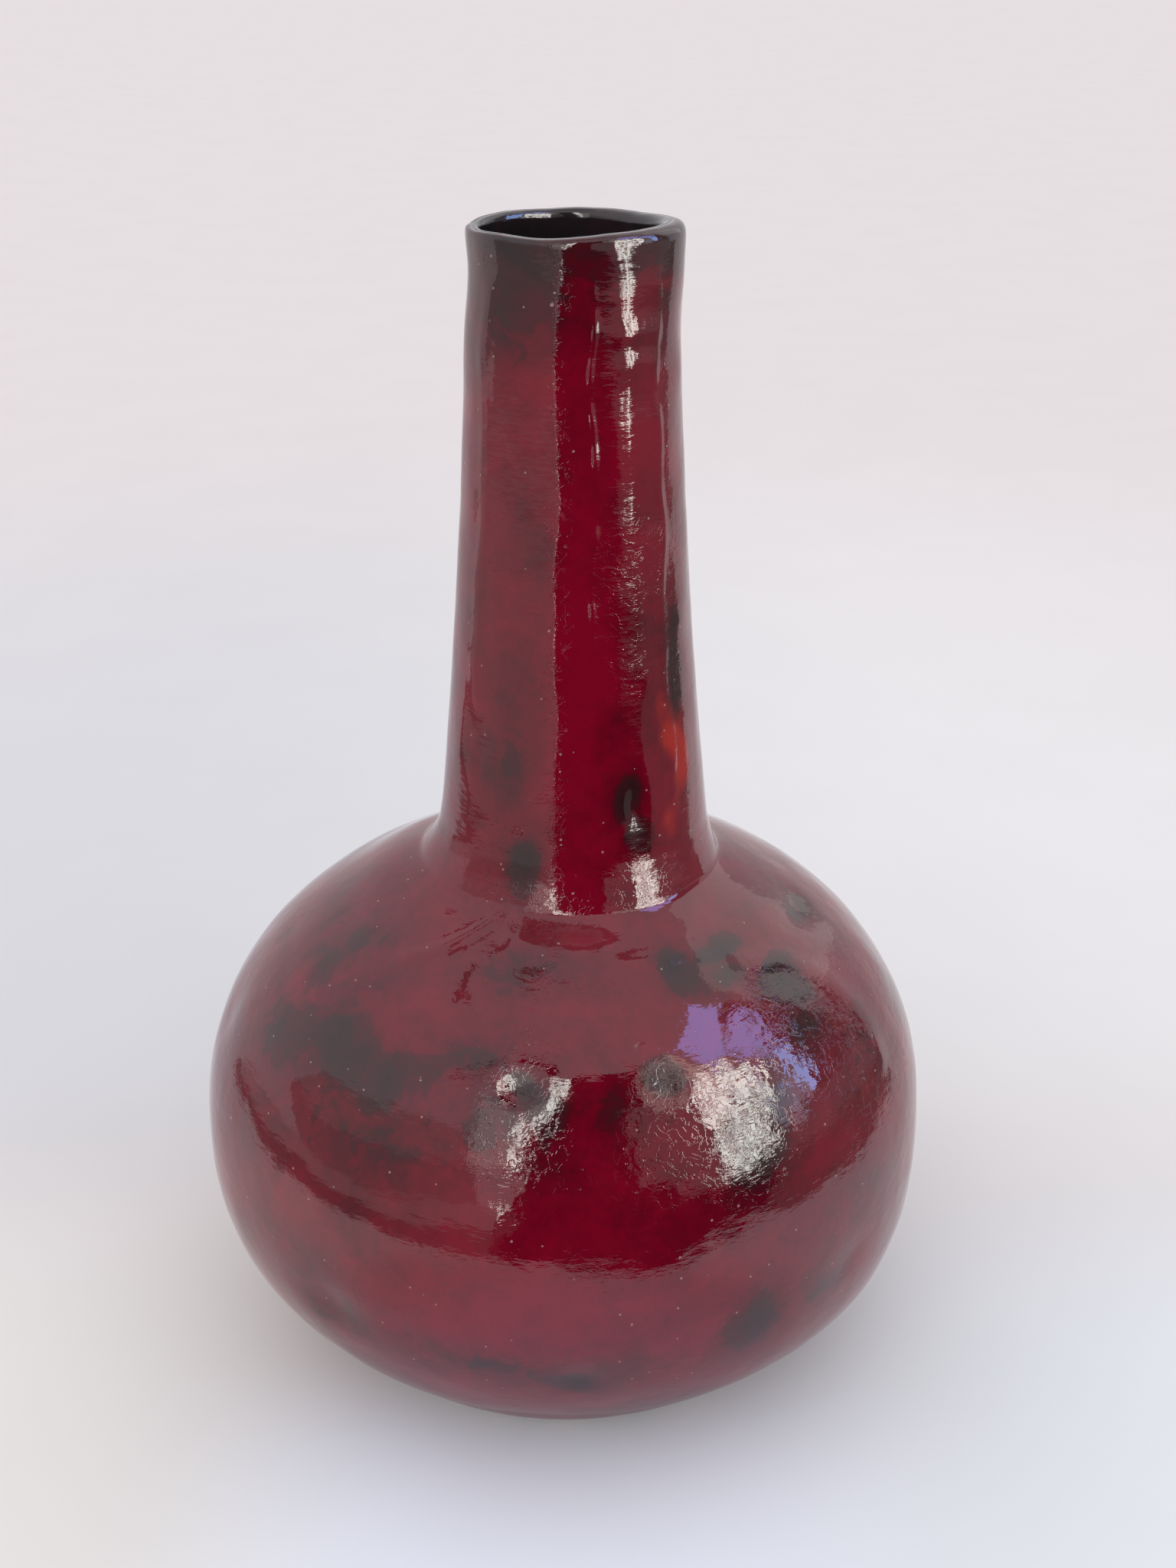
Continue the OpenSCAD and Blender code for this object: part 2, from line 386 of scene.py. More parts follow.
# Least share of the marks that the liner keeps, and the share of its thickness that the outer
# glaze loses at its lower edge
LINER_CALM = 0.12
THIN_EDGE = 0.9


def local_marks(a, h, marks):
    """Sum of soft round hills at named places."""
    place = arc_place(h)
    radius = outline(h, 0)
    total = np.zeros(np.broadcast(a, h).shape)
    for angle, height, width, length, rise in marks.values():
        across = radius * np.radians(turn_from(a, angle)) / (width / 2)
        along = (place - arc_place(height)) / (length / 2)
        total += rise * np.exp(-(across**2) - along**2)
    return total


def fold_marks(a, h):
    """Ridges that follow a path over the shoulder and fade at its ends."""
    place = arc_place(h)
    total = np.zeros(np.broadcast(a, h).shape)
    for path, width, rise in FOLDS.values():
        middle_a, middle_h = path[len(path) // 2]
        radius = outline(middle_h, 0)
        u = radius * np.radians(turn_from(a, middle_a))
        spots = [
            (radius * math.radians(turn_from(x, middle_a)), float(arc_place(z))) for x, z in path
        ]
        nearest = np.full(u.shape, np.inf)
        for (u0, v0), (u1, v1) in zip(spots, spots[1:]):
            du, dv = u1 - u0, v1 - v0
            t = np.clip(((u - u0) * du + (place - v0) * dv) / (du * du + dv * dv), 0, 1)
            nearest = np.minimum(nearest, np.hypot(u - u0 - t * du, place - v0 - t * dv))
        total += rise * np.exp(-((nearest / (width / 2)) ** 2))
    return total


def run_marks(a, h):
    """Runs of glaze that wander down the neck, the thinnest in beads."""
    radius = outline(h, 0)
    total = np.zeros(np.broadcast(a, h).shape)
    for angle, width, rise, low, high, beading in RUNS.values():
        path = angle + 1.5 * np.sin(h / 9.3 + angle) + 0.9 * np.sin(h / 3.7 + 2 * angle)
        across = radius * np.radians(turn_from(a, path)) / width
        bead = 0.5 + 0.5 * np.sin(h / 1.9 + angle) * np.sin(h / 5.3 + 0.7 * angle)
        reach = ease((h - low) / 8.0) * ease((high - h) / 5.0)
        total += rise * reach * (1 - beading + beading * bead) * np.exp(-(across**2))
    return total


def uneven(points, height, size, seed):
    """Soft unevenness of this height, with features of this size."""
    return height * lattice_noise(points, size, seed)


def streaks(a, h, height, across, along, seed):
    """Unevenness drawn out up and down, as the glaze ran."""
    r = outline(h, 0) + 0 * a
    drawn = np.stack([r * cosd(a), r * sind(a), arc_place(h) * across / along + 0 * a], -1)
    return height * lattice_noise(drawn, across, seed)


def overall_marks(points, a, h):
    """Marks of the hand that lie everywhere, in millimetres along the surface's normal."""
    on_neck = ease((h - NECK_MARKS_Z) / NECK_MARKS_RISE)
    on_belly = 1 - NECK_CALM * on_neck
    broad = uneven(points, *BROAD) + uneven(points, *MEDIUM) - SET_IN_BELLY
    fine = uneven(points, *SMALL) + uneven(points, *FINE) - SET_IN
    drawn = streaks(a, h, *WIDE_STREAKS) + streaks(a, h, *THIN_STREAKS)
    lip = ease((h - LIP_Z) / LIP_LUMPS_RISE) * uneven(points, *LIP_LUMPS)
    lean = LEAN * cosd(a) * ease((h - LEAN_Z) / LEAN_RISE)
    spread = SPREAD * ease((h - SPREAD_Z) / SPREAD_RISE)
    return above_foot(h) * (on_belly * broad + fine) + on_neck * drawn + lip + lean + spread


def placed_marks(a, h):
    """Dents, swellings, folds and runs of glaze at their own places, on the outside only."""
    rounds = local_marks(a, h, BUMPS) - local_marks(a, h, DENTS)
    return rounds + fold_marks(a, h) + run_marks(a, h)


def grid_normals(points):
    """Normals of a grid of rings that closes round its second axis, pointing out of the solid."""
    around = np.roll(points, -1, 1) - np.roll(points, 1, 1)
    along = np.gradient(points, axis=0)
    normal = np.cross(around, along)
    length = np.linalg.norm(normal, axis=-1, keepdims=True)
    return normal / np.maximum(length, 1e-9)


def edge_rings(turns):
    """Rings over the rounded edge of the lip: turn 0 is outside, 90 the crest, 180 inside."""
    half = wall(EDGE_Z) / 2
    middle = outline(EDGE_Z, GLAZE) - half
    rings = []
    for turn in turns:
        c = math.cos(math.radians(turn))
        out = (half + GLAZE) * math.copysign(abs(c) ** LIP_EDGE, c)
        rise = (LIP_ROUND + GLAZE) * max(0.0, math.sin(math.radians(turn))) ** LIP_EDGE
        r = middle + out + lump(ANGLES, EDGE_Z)
        rings.append(spots_on(ANGLES, r, EDGE_Z + rise))
    return np.array(rings)


def edge_heights(turns):
    """Heights of the rings over the rounded edge, for the marks and the paint."""
    return np.broadcast_to(EDGE_Z + LIP_ROUND * sind(turns)[:, None], (len(turns), SIDES))


def wall_rings(heights, depth, inward=0.0):
    """Rings on one face of the wall, and with coils on it that reach this far inward."""
    h = heights[:, None]
    d = np.broadcast_to(depth, heights.shape)[:, None]
    reach = np.broadcast_to(inward, heights.shape)[:, None]
    return spots_on(ANGLES[None, :], outline(h, d) - reach + lump(ANGLES[None, :], h), h)


def glaze_edge(a):
    """Height of the lower edge of the outer glaze, where it was wiped off the foot."""
    ring = np.stack([FOOT_R * cosd(a), FOOT_R * sind(a), 0 * a], -1)
    wave = lattice_noise(ring, 9.0, 21) + 0.5 * lattice_noise(ring, 3.5, 22)
    return SLAB_H + 0.9 + 0.5 * wave


def outer_surface():
    """The outer face of the glaze, from its lower edge to the crest of the lip.

    Returns the points in rings, with the angle and the height of each.
    """
    heights = arc_heights(SLAB_H, EDGE_Z, 0, RING_STEP)
    start = glaze_edge(ANGLES)
    near = np.clip(1 - (heights - SLAB_H) / (2 * FLOOR_COIL_H), 0, 1)[:, None]
    body_h = heights[:, None] + (start[None, :] - SLAB_H) * near
    a = np.broadcast_to(ANGLES, body_h.shape)
    body = spots_on(a, outline(body_h, 0) + lump(a, body_h), body_h)
    turns = np.linspace(0, 90, EDGE_STEPS + 1)[1:]
    h = np.concatenate([body_h, edge_heights(turns)])
    return np.concatenate([body, edge_rings(turns)]), np.broadcast_to(ANGLES, h.shape), h


def inner_surface():
    """The inner face of the liner, from the crest of the lip down to the floor's middle."""
    turns = np.linspace(90, 180, EDGE_STEPS + 1)
    heights = arc_heights(SLAB_H + GLAZE, EDGE_Z, FOOT_WALL, 2 * RING_STEP)[::-1][1:]
    body = wall_rings(heights, 2 * GLAZE + wall(heights), coils(heights))
    shrink = np.linspace(1, FLOOR_LAST, FLOOR_RINGS)[1:]
    floor = np.array([body[-1] * (t, t, 1) for t in shrink])
    body_h = np.broadcast_to(heights[:, None], body.shape[:2])
    floor_h = np.broadcast_to(heights[-1], floor.shape[:2])
    h = np.concatenate([edge_heights(turns), body_h, floor_h])
    points = np.concatenate([edge_rings(turns), body, floor])
    return points, np.broadcast_to(ANGLES, h.shape), h


def solid(name, loops, closed, material, body="root"):
    """A mesh from rings of points in millimetres: it joins each ring to the next."""
    rings = np.concatenate(loops)
    count, sides = rings.shape[:2]
    last = count if closed else count - 1
    k = np.arange(last)[:, None]
    i = np.arange(sides)[None, :]
    j = (i + 1) % sides
    nxt = (k + 1) % count
    quads = np.stack([k * sides + i, k * sides + j, nxt * sides + j, nxt * sides + i], -1)
    faces = quads.reshape(-1, 4).tolist()
    if not closed:
        faces.append(list(range(sides))[::-1])
        faces.append([(count - 1) * sides + n for n in range(sides)])
    mesh = bpy.data.meshes.new(name)
    mesh.from_pydata((rings.reshape(-1, 3) * MM).tolist(), [], faces)
    mesh.polygons.foreach_set("use_smooth", [True] * len(mesh.polygons))
    mesh.materials.append(material)
    mesh.update()
    piece = bpy.data.objects.new(name, mesh)
    bpy.context.scene.collection.objects.link(piece)
    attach(piece, body)
    return piece


def paint(piece, name, values):
    """Keeps a number for each point of a mesh, which its material reads."""
    layer = piece.data.attributes.new(name, "FLOAT", "POINT")
    layer.data.foreach_set("value", np.asarray(values, np.float32).ravel())


# Dark clouds in the glaze, and painted shade at a few dents: angle, height, width, length up the
# wall and strength
CLOUDS = {
    "left_a": (-147, 107, 26, 22, 0.50),
    "left_b": (-134, 109, 26, 22, 0.62),
    "left_c": (-121, 107, 24, 20, 0.62),
    "left_d": (-107, 112.5, 26, 11, 0.42),
    "left_low": (-118, 96, 46, 26, 0.42),
    "left_wide": (-135, 100, 80, 60, 0.28),
    "up_left": (-152, 123, 26, 18, 0.40),
    "up_left_low": (-136, 119, 24, 14, 0.32),
    "mid": (-102, 126, 24, 20, 0.42),
    "mid_low": (-104, 118, 20, 14, 0.22),
    # Painted shade in the three dents on the upper right
    "dent_shade_a": (-60, 124, 16, 12, 0.55),
    "dent_shade_b": (-47, 122, 18, 12, 0.50),
    "dent_shade_c": (-35, 117, 16, 14, 0.85),
    "right_a": (-37, 110, 22, 22, 0.50),
    "right_b": (-25, 101, 24, 26, 0.35),
    "right_top": (-10, 122, 18, 11, 0.55),
    "right_low": (-30, 72, 34, 26, 0.25),
    "front": (-82, 106, 24, 16, 0.40),
    # Painted shade in the dent by the window
    "window_dent_shade": (-71, 109, 9, 9, 0.55),
    "front_top": (-70, 118, 34, 18, 0.22),
    "low_right_a": (-60, 50, 26, 22, 0.72),
    "low_right_b": (-46, 52, 22, 18, 0.50),
    "low_front": (-88, 41, 22, 12, 0.66),
    "low_band": (-98, 45, 70, 14, 0.52),
    "low_left_a": (-131, 60, 20, 20, 0.42),
    "low_left_b": (-128, 48, 32, 18, 0.42),
    "low_left_c": (-112, 40, 34, 12, 0.36),
    "under_window": (-57, 97, 26, 34, 0.60),
    "under_light": (-94, 104, 18, 26, 0.50),
    "beside_light": (-101, 103, 18, 24, 0.45),
    "between_lights": (-74, 103, 18, 20, 0.36),
    "top_left_edge": (-150, 118, 22, 20, 0.45),
    "neck_a": (-66, 157, 8, 14, 1.05),
    "neck_b": (-60, 148, 10, 12, 0.75),
    "neck_c": (-110, 144, 9, 14, 0.85),
    "neck_d": (-118, 168, 14, 34, 0.42),
    "neck_e": (-112, 215, 12, 50, 0.28),
    "neck_f": (-62, 200, 12, 60, 0.26),
    "neck_g": (-33, 186, 7, 40, 0.55),
    "neck_h": (-52, 176, 10, 22, 0.35),
    "back_a": (62, 118, 32, 24, 0.50),
    "back_b": (98, 104, 30, 26, 0.60),
    "back_c": (128, 112, 28, 20, 0.50),
    "back_d": (160, 92, 26, 28, 0.42),
    "back_e": (30, 84, 28, 30, 0.48),
    "back_f": (78, 60, 34, 26, 0.42),
    "back_g": (132, 52, 30, 24, 0.50),
    "back_h": (12, 48, 28, 20, 0.42),
    "back_i": (60, 36, 30, 14, 0.42),
    "back_wide": (100, 84, 110, 60, 0.22),
    "back_neck_a": (70, 160, 14, 26, 0.75),
    "back_neck_b": (120, 190, 12, 40, 0.42),
    "back_neck_c": (40, 215, 12, 40, 0.36),
    "back_neck_d": (160, 150, 12, 14, 0.70),
}

# Painted shade: dark rims round hollows; and painted sheen: the paler places inside them; given as
# the clouds are
SHADED_RIMS = {
    "right_a": (-61, 125.6, 11, 8, 0.85),
    "right_b": (-44, 124.6, 19, 11, 1.05),
    "right_c": (-34, 119.0, 14, 9, 1.10),
    "window_dent_shade": (-71, 109.6, 9, 8, 0.80),
    "by_shade": (-96, 109.8, 10, 7, 0.70),
    "back_a": (75, 118.4, 12, 9, 0.90),
    "back_b": (118, 104.4, 11, 9, 0.80),
}
SHEEN_IN_HOLLOWS = {
    "right_b": (-44, 122.8, 16, 9, 0.95),
    "right_c": (-33, 117.4, 9, 5, 0.70),
    "back_a": (75, 116.6, 10, 7, 0.70),
}

# Places where the glaze is clear and bright, given as the clouds are
CLEAR = {
    "neck": (-84, 192, 26, 112, 0.40),
    "low_belly": (-88, 56, 130, 34, 0.24),
    "low_right": (-68, 64, 36, 22, 0.30),
}

# Places where the glaze lies thin and glows: angle, height, width, length and strength
EMBERS = {
    "neck_right": (-37, 163, 10, 26, 0.95),
    "neck_right_low": (-42, 149, 8, 12, 0.55),
    "neck_right_high": (-43, 176, 8, 12, 0.55),
    "root_front": (-88, 130, 24, 9, 0.36),
    "root_left": (-112, 133, 24, 8, 0.35),
    "dome_left": (-113, 117, 14, 20, 0.30),
    "belly_right": (-32, 92, 12, 16, 0.35),
    "back_neck": (95, 168, 12, 30, 0.75),
    "back_root": (120, 131, 24, 9, 0.5),
    "back_belly": (110, 84, 22, 16, 0.35),
}

# Places where the glaze has a coarse, pitted skin: angle, height, width, length and strength
GRAIN = {
    "window": (-58, 98, 44, 40, 0.9),
    "right_shoulder": (-32, 109, 36, 40, 1.7),
    "right_edge": (-12, 100, 40, 70, 1.2),
    "between": (-74, 102, 18, 34, 1.25),
    "shade": (-97, 103, 24, 36, 0.9),
    "neck_window": (-58, 195, 20, 150, 0.45),
    "neck_edge": (-97, 200, 6, 160, 1.9),
    "root": (-62, 138, 30, 18, 1.4),
    "root_front": (-90, 136, 60, 12, 1.5),
    "neck_right": (-33, 205, 13, 150, 0.6),
    "back": (90, 110, 50, 40, 1.4),
    "back_neck": (70, 210, 16, 120, 1.2),
}

# How far the edges of the clouds wander, in millimetres
CLOUD_SWAY = 3.0

# Darkness towards the lip: strength, the height where it starts and the length of its fade
LIP_DARK = (0.36, 236.0, 34.0)
LIP_DARKEST = (0.30, 268.0, 9.0)
LIP_MOTTLE = (0.12, 225.0, 25.0)

# The side where the lip is darkest, and by how much
DARK_TURN = -150.0
DARK_SIDE = 0.30

# Share of the lesser darkness that is added where clouds meet the lip's
OVERLAP = 0.25

# Skin of the glaze everywhere: its mean, and its unevenness
SKIN = 0.75
SKIN_UNEVEN = (0.5, 20.0, 42)

# How far below the top the glaze runs thin and paler, partly as a painted highlight on the lip's
# edge, and how broken that is
CREST_DEPTH = 1.1
CREST = 0.7
CREST_UNEVEN = (0.6, 6.0, 43)


def cloud_field(a, h, clouds, points):
    """Strength of a family of clouds at each point, with softly wandering edges."""
    place = arc_place(h) + uneven(points, CLOUD_SWAY, 13.0, 31)
    radius = outline(h, 0)
    sway = uneven(points, CLOUD_SWAY, 12.0, 32)
    total = np.zeros(a.shape)
    for angle, height, width, length, strength in clouds.values():
        across = radius * np.radians(turn_from(a, angle)) + sway
        along = place - arc_place(height)
        near = np.exp(-((across / (width / 2)) ** 2) - (along / (length / 2)) ** 2)
        total = np.maximum(total, strength * near)
    return total


def darker_up(h, strength, start, length):
    """Darkness that grows up the neck."""
    return strength * ease((h - start) / length)


def lip_darkness(points, a, h):
    """The smoky glaze near the lip, darker on one side and mottled."""
    smoke = darker_up(h, *LIP_DARK) * (1 + DARK_SIDE * cosd(a - DARK_TURN))
    mottle = darker_up(h, *LIP_MOTTLE) * lattice_noise(points * (1, 1, 0.4), 7.0, 41)
    return smoke + darker_up(h, *LIP_DARKEST) + mottle


class Nodes:
    """Short calls for building one material, or the world."""

    def __init__(self, block):
        block.use_nodes = True
        self.block = block
        self.tree = block.node_tree
        self.tree.nodes.clear()

    def add(self, kind, inputs=None, **settings):
        node = self.tree.nodes.new("ShaderNode" + kind)
        for key, value in settings.items():
            setattr(node, key, value)
        for key, value in (inputs or {}).items():
            if isinstance(value, bpy.types.NodeSocket):
                self.tree.links.new(value, node.inputs[key])
            else:
                node.inputs[key].default_value = value
        return node

    def noise(self, size_mm, detail=2.0, rough=0.5, warp=0.0, squeeze=None):
        """Noise from about 0.3 to 0.7 with features of this size, squeezed along the axes."""
        place = self.place
        if squeeze:
            inputs = {0: place, 1: squeeze}
            place = self.add("VectorMath", inputs, operation="MULTIPLY").outputs[0]
        inputs = {"Vector": place, "Scale": 1000 / size_mm, "Detail": detail}
        inputs.update({"Roughness": rough, "Distortion": warp})
        return self.add("TexNoise", inputs).outputs["Fac"]

    def cells(self, size_mm, output="Distance"):
        inputs = {"Vector": self.place, "Scale": 1000 / size_mm}
        return self.add("TexVoronoi", inputs).outputs[output]

    def value(self, name):
        return self.add("Attribute", attribute_name=name).outputs["Fac"]

    def math(self, operation, a, b=0.0):
        return self.add("Math", {0: a, 1: b}, operation=operation).outputs[0]

    def times(self, a, b):
        return self.math("MULTIPLY", a, b)

    def plus(self, a, b):
        return self.math("ADD", a, b)

    def minus(self, a, b):
        return self.math("SUBTRACT", a, b)

    def fade(self, value, low, high, to_low=0.0, to_high=1.0):
        """Maps low..high smoothly to to_low..to_high."""
        inputs = {"Value": value, "From Min": low, "From Max": high}
        inputs.update({"To Min": to_low, "To Max": to_high})
        node = self.add("MapRange", inputs, interpolation_type="SMOOTHSTEP")
        return node.outputs["Result"]

    def mix(self, share, a, b, blend="MIX"):
        node = self.add("Mix", data_type="RGBA", blend_type=blend)
        sockets = {"Factor": share, "A": a, "B": b}
        for socket in node.inputs:
            if socket.enabled and socket.name in sockets:
                value = sockets.pop(socket.name)
                if isinstance(value, bpy.types.NodeSocket):
                    self.tree.links.new(value, socket)
                else:
                    socket.default_value = value
        return next(o for o in node.outputs if o.enabled)

    def ramp(self, value, stops):
        """Colours at stops along the value, with straight mixes between them."""
        node = self.add("ValToRGB", {"Fac": value})
        elements = node.color_ramp.elements
        while len(elements) < len(stops):
            elements.new(1.0)
        for element, (position, colour) in zip(elements, stops):
            element.position = position
            element.color = colour
        return node.outputs["Color"]

    def bump(self, height, depth_mm, below=None):
        """Adds relief of this depth on top of the relief below."""
        inputs = {"Height": height, "Distance": depth_mm * MM, "Strength": 1.0}
        if below is not None:
            inputs["Normal"] = below
        return self.add("Bump", inputs).outputs["Normal"]

    def finish(self, colour, roughness, normal, ior=1.5):
        """Ends a material of the vase with its shader."""
        inputs = {"Base Color": colour, "Roughness": roughness, "Normal": normal, "IOR": ior}
        return self.surface(self.add("BsdfPrincipled", inputs))

    def surface(self, shader, kind="OutputMaterial"):
        """Ends the tree with this shader, and returns what it belongs to."""
        self.tree.links.new(shader.outputs[0], self.add(kind).inputs["Surface"])
        return self.block


def material_nodes(name):
    """Nodes of a new material, with places in the object's own frame."""
    n = Nodes(bpy.data.materials.new(name))
    n.place = n.add("TexCoord").outputs["Object"]
    return n


# Colours of the glazes and the clay
BRIGHT_RED = (0.178, 0.0008, 0.0120, 1)
DEEP_RED = (0.122, 0.0007, 0.0085, 1)
OXBLOOD = (0.068, 0.0018, 0.0065, 1)
SOOT = (0.034, 0.0060, 0.0080, 1)
BLACK = (0.012, 0.0060, 0.0065, 1)
EMBER = (0.330, 0.0125, 0.0080, 1)
# Pale colour of the pits, partly a painted glint in them
PINHOLE_GLINT = (0.36, 0.20, 0.17, 1)
# Thin glaze on the crest, partly a painted highlight
THIN_GLAZE_HIGHLIGHT = (0.10, 0.030, 0.032, 1)
BODY_STOPS = ((0.0, BRIGHT_RED), (0.24, DEEP_RED), (0.46, OXBLOOD), (0.70, SOOT), (0.95, BLACK))
LINER = (0.0150, 0.0120, 0.0130, 1)
LINER_BROWN = (0.034, 0.017, 0.018, 1)
CLAY = (0.45, 0.34, 0.25, 1)
CLAY_DARK = (0.24, 0.16, 0.11, 1)
IRON_SPECK = (0.05, 0.025, 0.015, 1)
GLAZE_IOR = 1.70


def picked(n, size_mm, channel, rarity):
    """1 in the few cells that chance picks, and 0 in the share of cells that rarity gives."""
    chance = n.add("SeparateColor", {"Color": n.cells(size_mm, "Color")})
    return n.fade(chance.outputs[channel], rarity, rarity + 0.02)


def pinholes(n, size_mm, radius_share, rarity):
    """Small pits: 1 in the pit and 0 elsewhere."""
    near = n.fade(n.cells(size_mm), radius_share * 1.3, radius_share * 0.8)
    return n.times(near, picked(n, size_mm, "Red", rarity))


def wrinkles(n, size_mm, width):
    """Fine creases, 1 away from them and 0 in them."""
    away = n.math("ABSOLUTE", n.minus(n.noise(size_mm, 3, 0.6, 0.6), 0.5))
    return n.fade(away, 0.0, width)


def craters(n, size_mm, radius_share, rarity):
    """Small rings left by burst bubbles: 1 on the ring and 0 elsewhere."""
    away = n.math("ABSOLUTE", n.minus(n.cells(size_mm), radius_share))
    ring = n.fade(away, radius_share * 0.6, 0.0)
    return n.times(ring, picked(n, size_mm, "Green", rarity))


def body_depth(n):
    """How dark the body of the glaze is, from 0, bright red, to 1, black; its painted field also
    holds painted shade at the dents.
    """
    drift = n.times(n.noise(34, 3, 0.55, 0.3), 0.55)
    cloud = n.times(n.noise(12, 4, 0.6, 0.5), 0.75)
    grain = n.times(n.noise(2.0, 4, 0.7), 0.34)
    mottle = n.plus(n.plus(drift, cloud), grain)
    mottle = n.minus(mottle, 0.65)
    soot_and_shade = n.value("soot_and_shade")
    ragged = n.times(n.minus(n.noise(8, 5, 0.62, 0.8), 0.5), 0.9)
    core = n.fade(n.plus(soot_and_shade, ragged), 0.30, 0.44)
    soot_and_shade = n.plus(n.times(soot_and_shade, 0.52), n.times(core, 0.22))
    return n.plus(mottle, soot_and_shade)


def glaze_relief(n, pits):
    """Relief of the red glaze, from the broadest waves to the pits and craters."""
    grain = n.value("grain")
    skin = n.fade(grain, 0.9, 1.7)
    pocks = pinholes(n, 2.4, 0.13, 0.45)
    streak = n.noise(5.0, 3, 0.6, 0.3, (1, 1, 3.5))
    relief = n.bump(n.noise(8, 2, 0.5), 0.08)
    relief = n.bump(n.times(n.noise(4.0, 2, 0.5), grain), 0.030, relief)
    relief = n.bump(n.times(n.noise(1.9, 1, 0.5), grain), 0.013, relief)
    relief = n.bump(n.times(streak, n.plus(grain, 0.5)), 0.035, relief)
    relief = n.bump(n.times(n.noise(4.6, 3, 0.55), skin), 0.085, relief)
    relief = n.bump(n.times(wrinkles(n, 3.4, 0.035), skin), 0.016, relief)
    relief = n.bump(n.minus(1.0, n.times(pocks, skin)), 0.060, relief)
    relief = n.bump(n.minus(1.0, pits), 0.10, relief)
    return n.bump(craters(n, 24, 0.040, 0.62), 0.10, relief)


def red_glaze():
    """Deep red that turns black in the clouds and glows where it is thin, full of small pits, with
    painted shade and sheen at the dents, painted glints in the pits and a partly painted highlight
    on the crest.
    """
    n = material_nodes("red_glaze")
    colour = n.ramp(body_depth(n), BODY_STOPS)
    patchy = n.minus(n.times(n.noise(9, 4, 0.6), 0.9), 0.45)
    ember = n.fade(n.plus(n.value("ember"), patchy), 0.3, 0.85)
    colour = n.mix(ember, colour, EMBER)
    # The crest is paler where the glaze runs thin, partly as a painted highlight
    colour = n.mix(n.value("crest"), colour, THIN_GLAZE_HIGHLIGHT)
    small = pinholes(n, 3.3, 0.075, 0.66)
    large = pinholes(n, 15, 0.024, 0.60)
    pits = n.math("MAXIMUM", small, large)
    # The pits are pale, partly as a painted glint
    colour = n.mix(n.times(pits, 0.75), colour, PINHOLE_GLINT)
    relief = glaze_relief(n, pits)
    roughness = n.fade(n.noise(5, 3), 0.35, 0.65, 0.025, 0.065)
    return n.finish(colour, roughness, relief, GLAZE_IOR)


def dark_glaze():
    """Near black, smooth glaze inside the mouth."""
    n = material_nodes("dark_glaze")
    colour = n.mix(n.fade(n.noise(14, 4), 0.4, 0.65), LINER, LINER_BROWN)
    relief = n.bump(n.noise(6, 2), 0.20)
    relief = n.bump(n.noise(2.4, 3), 0.05, relief)
    roughness = n.fade(n.noise(4, 2), 0.35, 0.65, 0.05, 0.12)
    return n.finish(colour, roughness, relief, GLAZE_IOR)


def fired_clay():
    """Bare brown clay with dark specks of iron, rough to the touch."""
    n = material_nodes("fired_clay")
    colour = n.mix(n.fade(n.noise(9, 5, 0.6), 0.35, 0.65), CLAY, CLAY_DARK)
    speck = n.fade(n.cells(2.4), 0.16, 0.10)
    colour = n.mix(n.times(speck, 0.7), colour, IRON_SPECK)
    relief = n.bump(n.noise(1.2, 4, 0.7), 0.12)
    relief = n.bump(n.noise(0.35, 2), 0.03, relief)
    roughness = n.fade(n.noise(3, 3), 0.3, 0.7, 0.75, 0.92)
    return n.finish(colour, roughness, relief)


def coarse(rings):
    """Every few points of a grid, for pieces that lie under the glaze."""
    return rings[:, ::COARSE]


def clay_pieces(clay_face, ring_h, crest, material):
    """The joined clay pieces, cut at the seams from one face that lies under the glaze."""
    outer_h = ring_h[:crest]

    def at(height):
        return int(np.argmin(np.abs(outer_h - height)))

    def piece(name, low, high):
        rows = clay_face[at(low) : at(high) + 1]
        rows = np.concatenate([rows[:-1][::COARSE_ROWS], rows[-1:]])
        bore_h = np.linspace(low, high, BORE_RINGS)
        loops = [rows, wall_rings(bore_h, GLAZE + wall(bore_h))[::-1]]
        if low == SLAB_H:
            loops.insert(0, wall_rings(np.array([low]), GLAZE))
        made = solid(name, [coarse(r) for r in loops], True, material)
        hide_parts(name)

    piece("lower_bowl", SLAB_H, BELLY_Z)
    piece("shoulder_dome", BELLY_Z, COLLAR_Z)
    piece("neck_collar", COLLAR_Z, COLLAR_TOP_Z)
    piece("neck_tube", COLLAR_TOP_Z, LIP_Z)
    past_crest = ring_h[crest : crest + 8 * EDGE_STEPS]
    inside = crest + int(np.argmin(np.abs(past_crest - LIP_Z)))
    rows = clay_face[at(LIP_Z) : inside : COARSE_LIP_ROWS]
    made = solid("lip_coil", [coarse(rows)], True, material)
    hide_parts("lip_coil")


def with_marks(points, a, h, crest):
    """The smooth rings with the marks of the hand on them, which grow fainter inside."""
    normals = grid_normals(points)
    rows = np.arange(len(points))
    share = np.clip(1 - (rows - crest) / (2.0 * EDGE_STEPS), LINER_CALM, 1)[:, None]
    outside = (rows < crest)[:, None]
    marks = overall_marks(points, a, h)
    marks = np.where(outside, marks + placed_marks(a, h), marks * share)
    lowest = 1 - np.clip(rows / 2.0, 0, 1)[:, None]
    marks = marks - lowest * GLAZE * THIN_EDGE
    low, high = np.array(cad_bounds) / MM
    slack = np.array((BOX_SLACK, BOX_SLACK, 0))
    return np.clip(points + normals * marks[..., None], low + slack, high - slack)


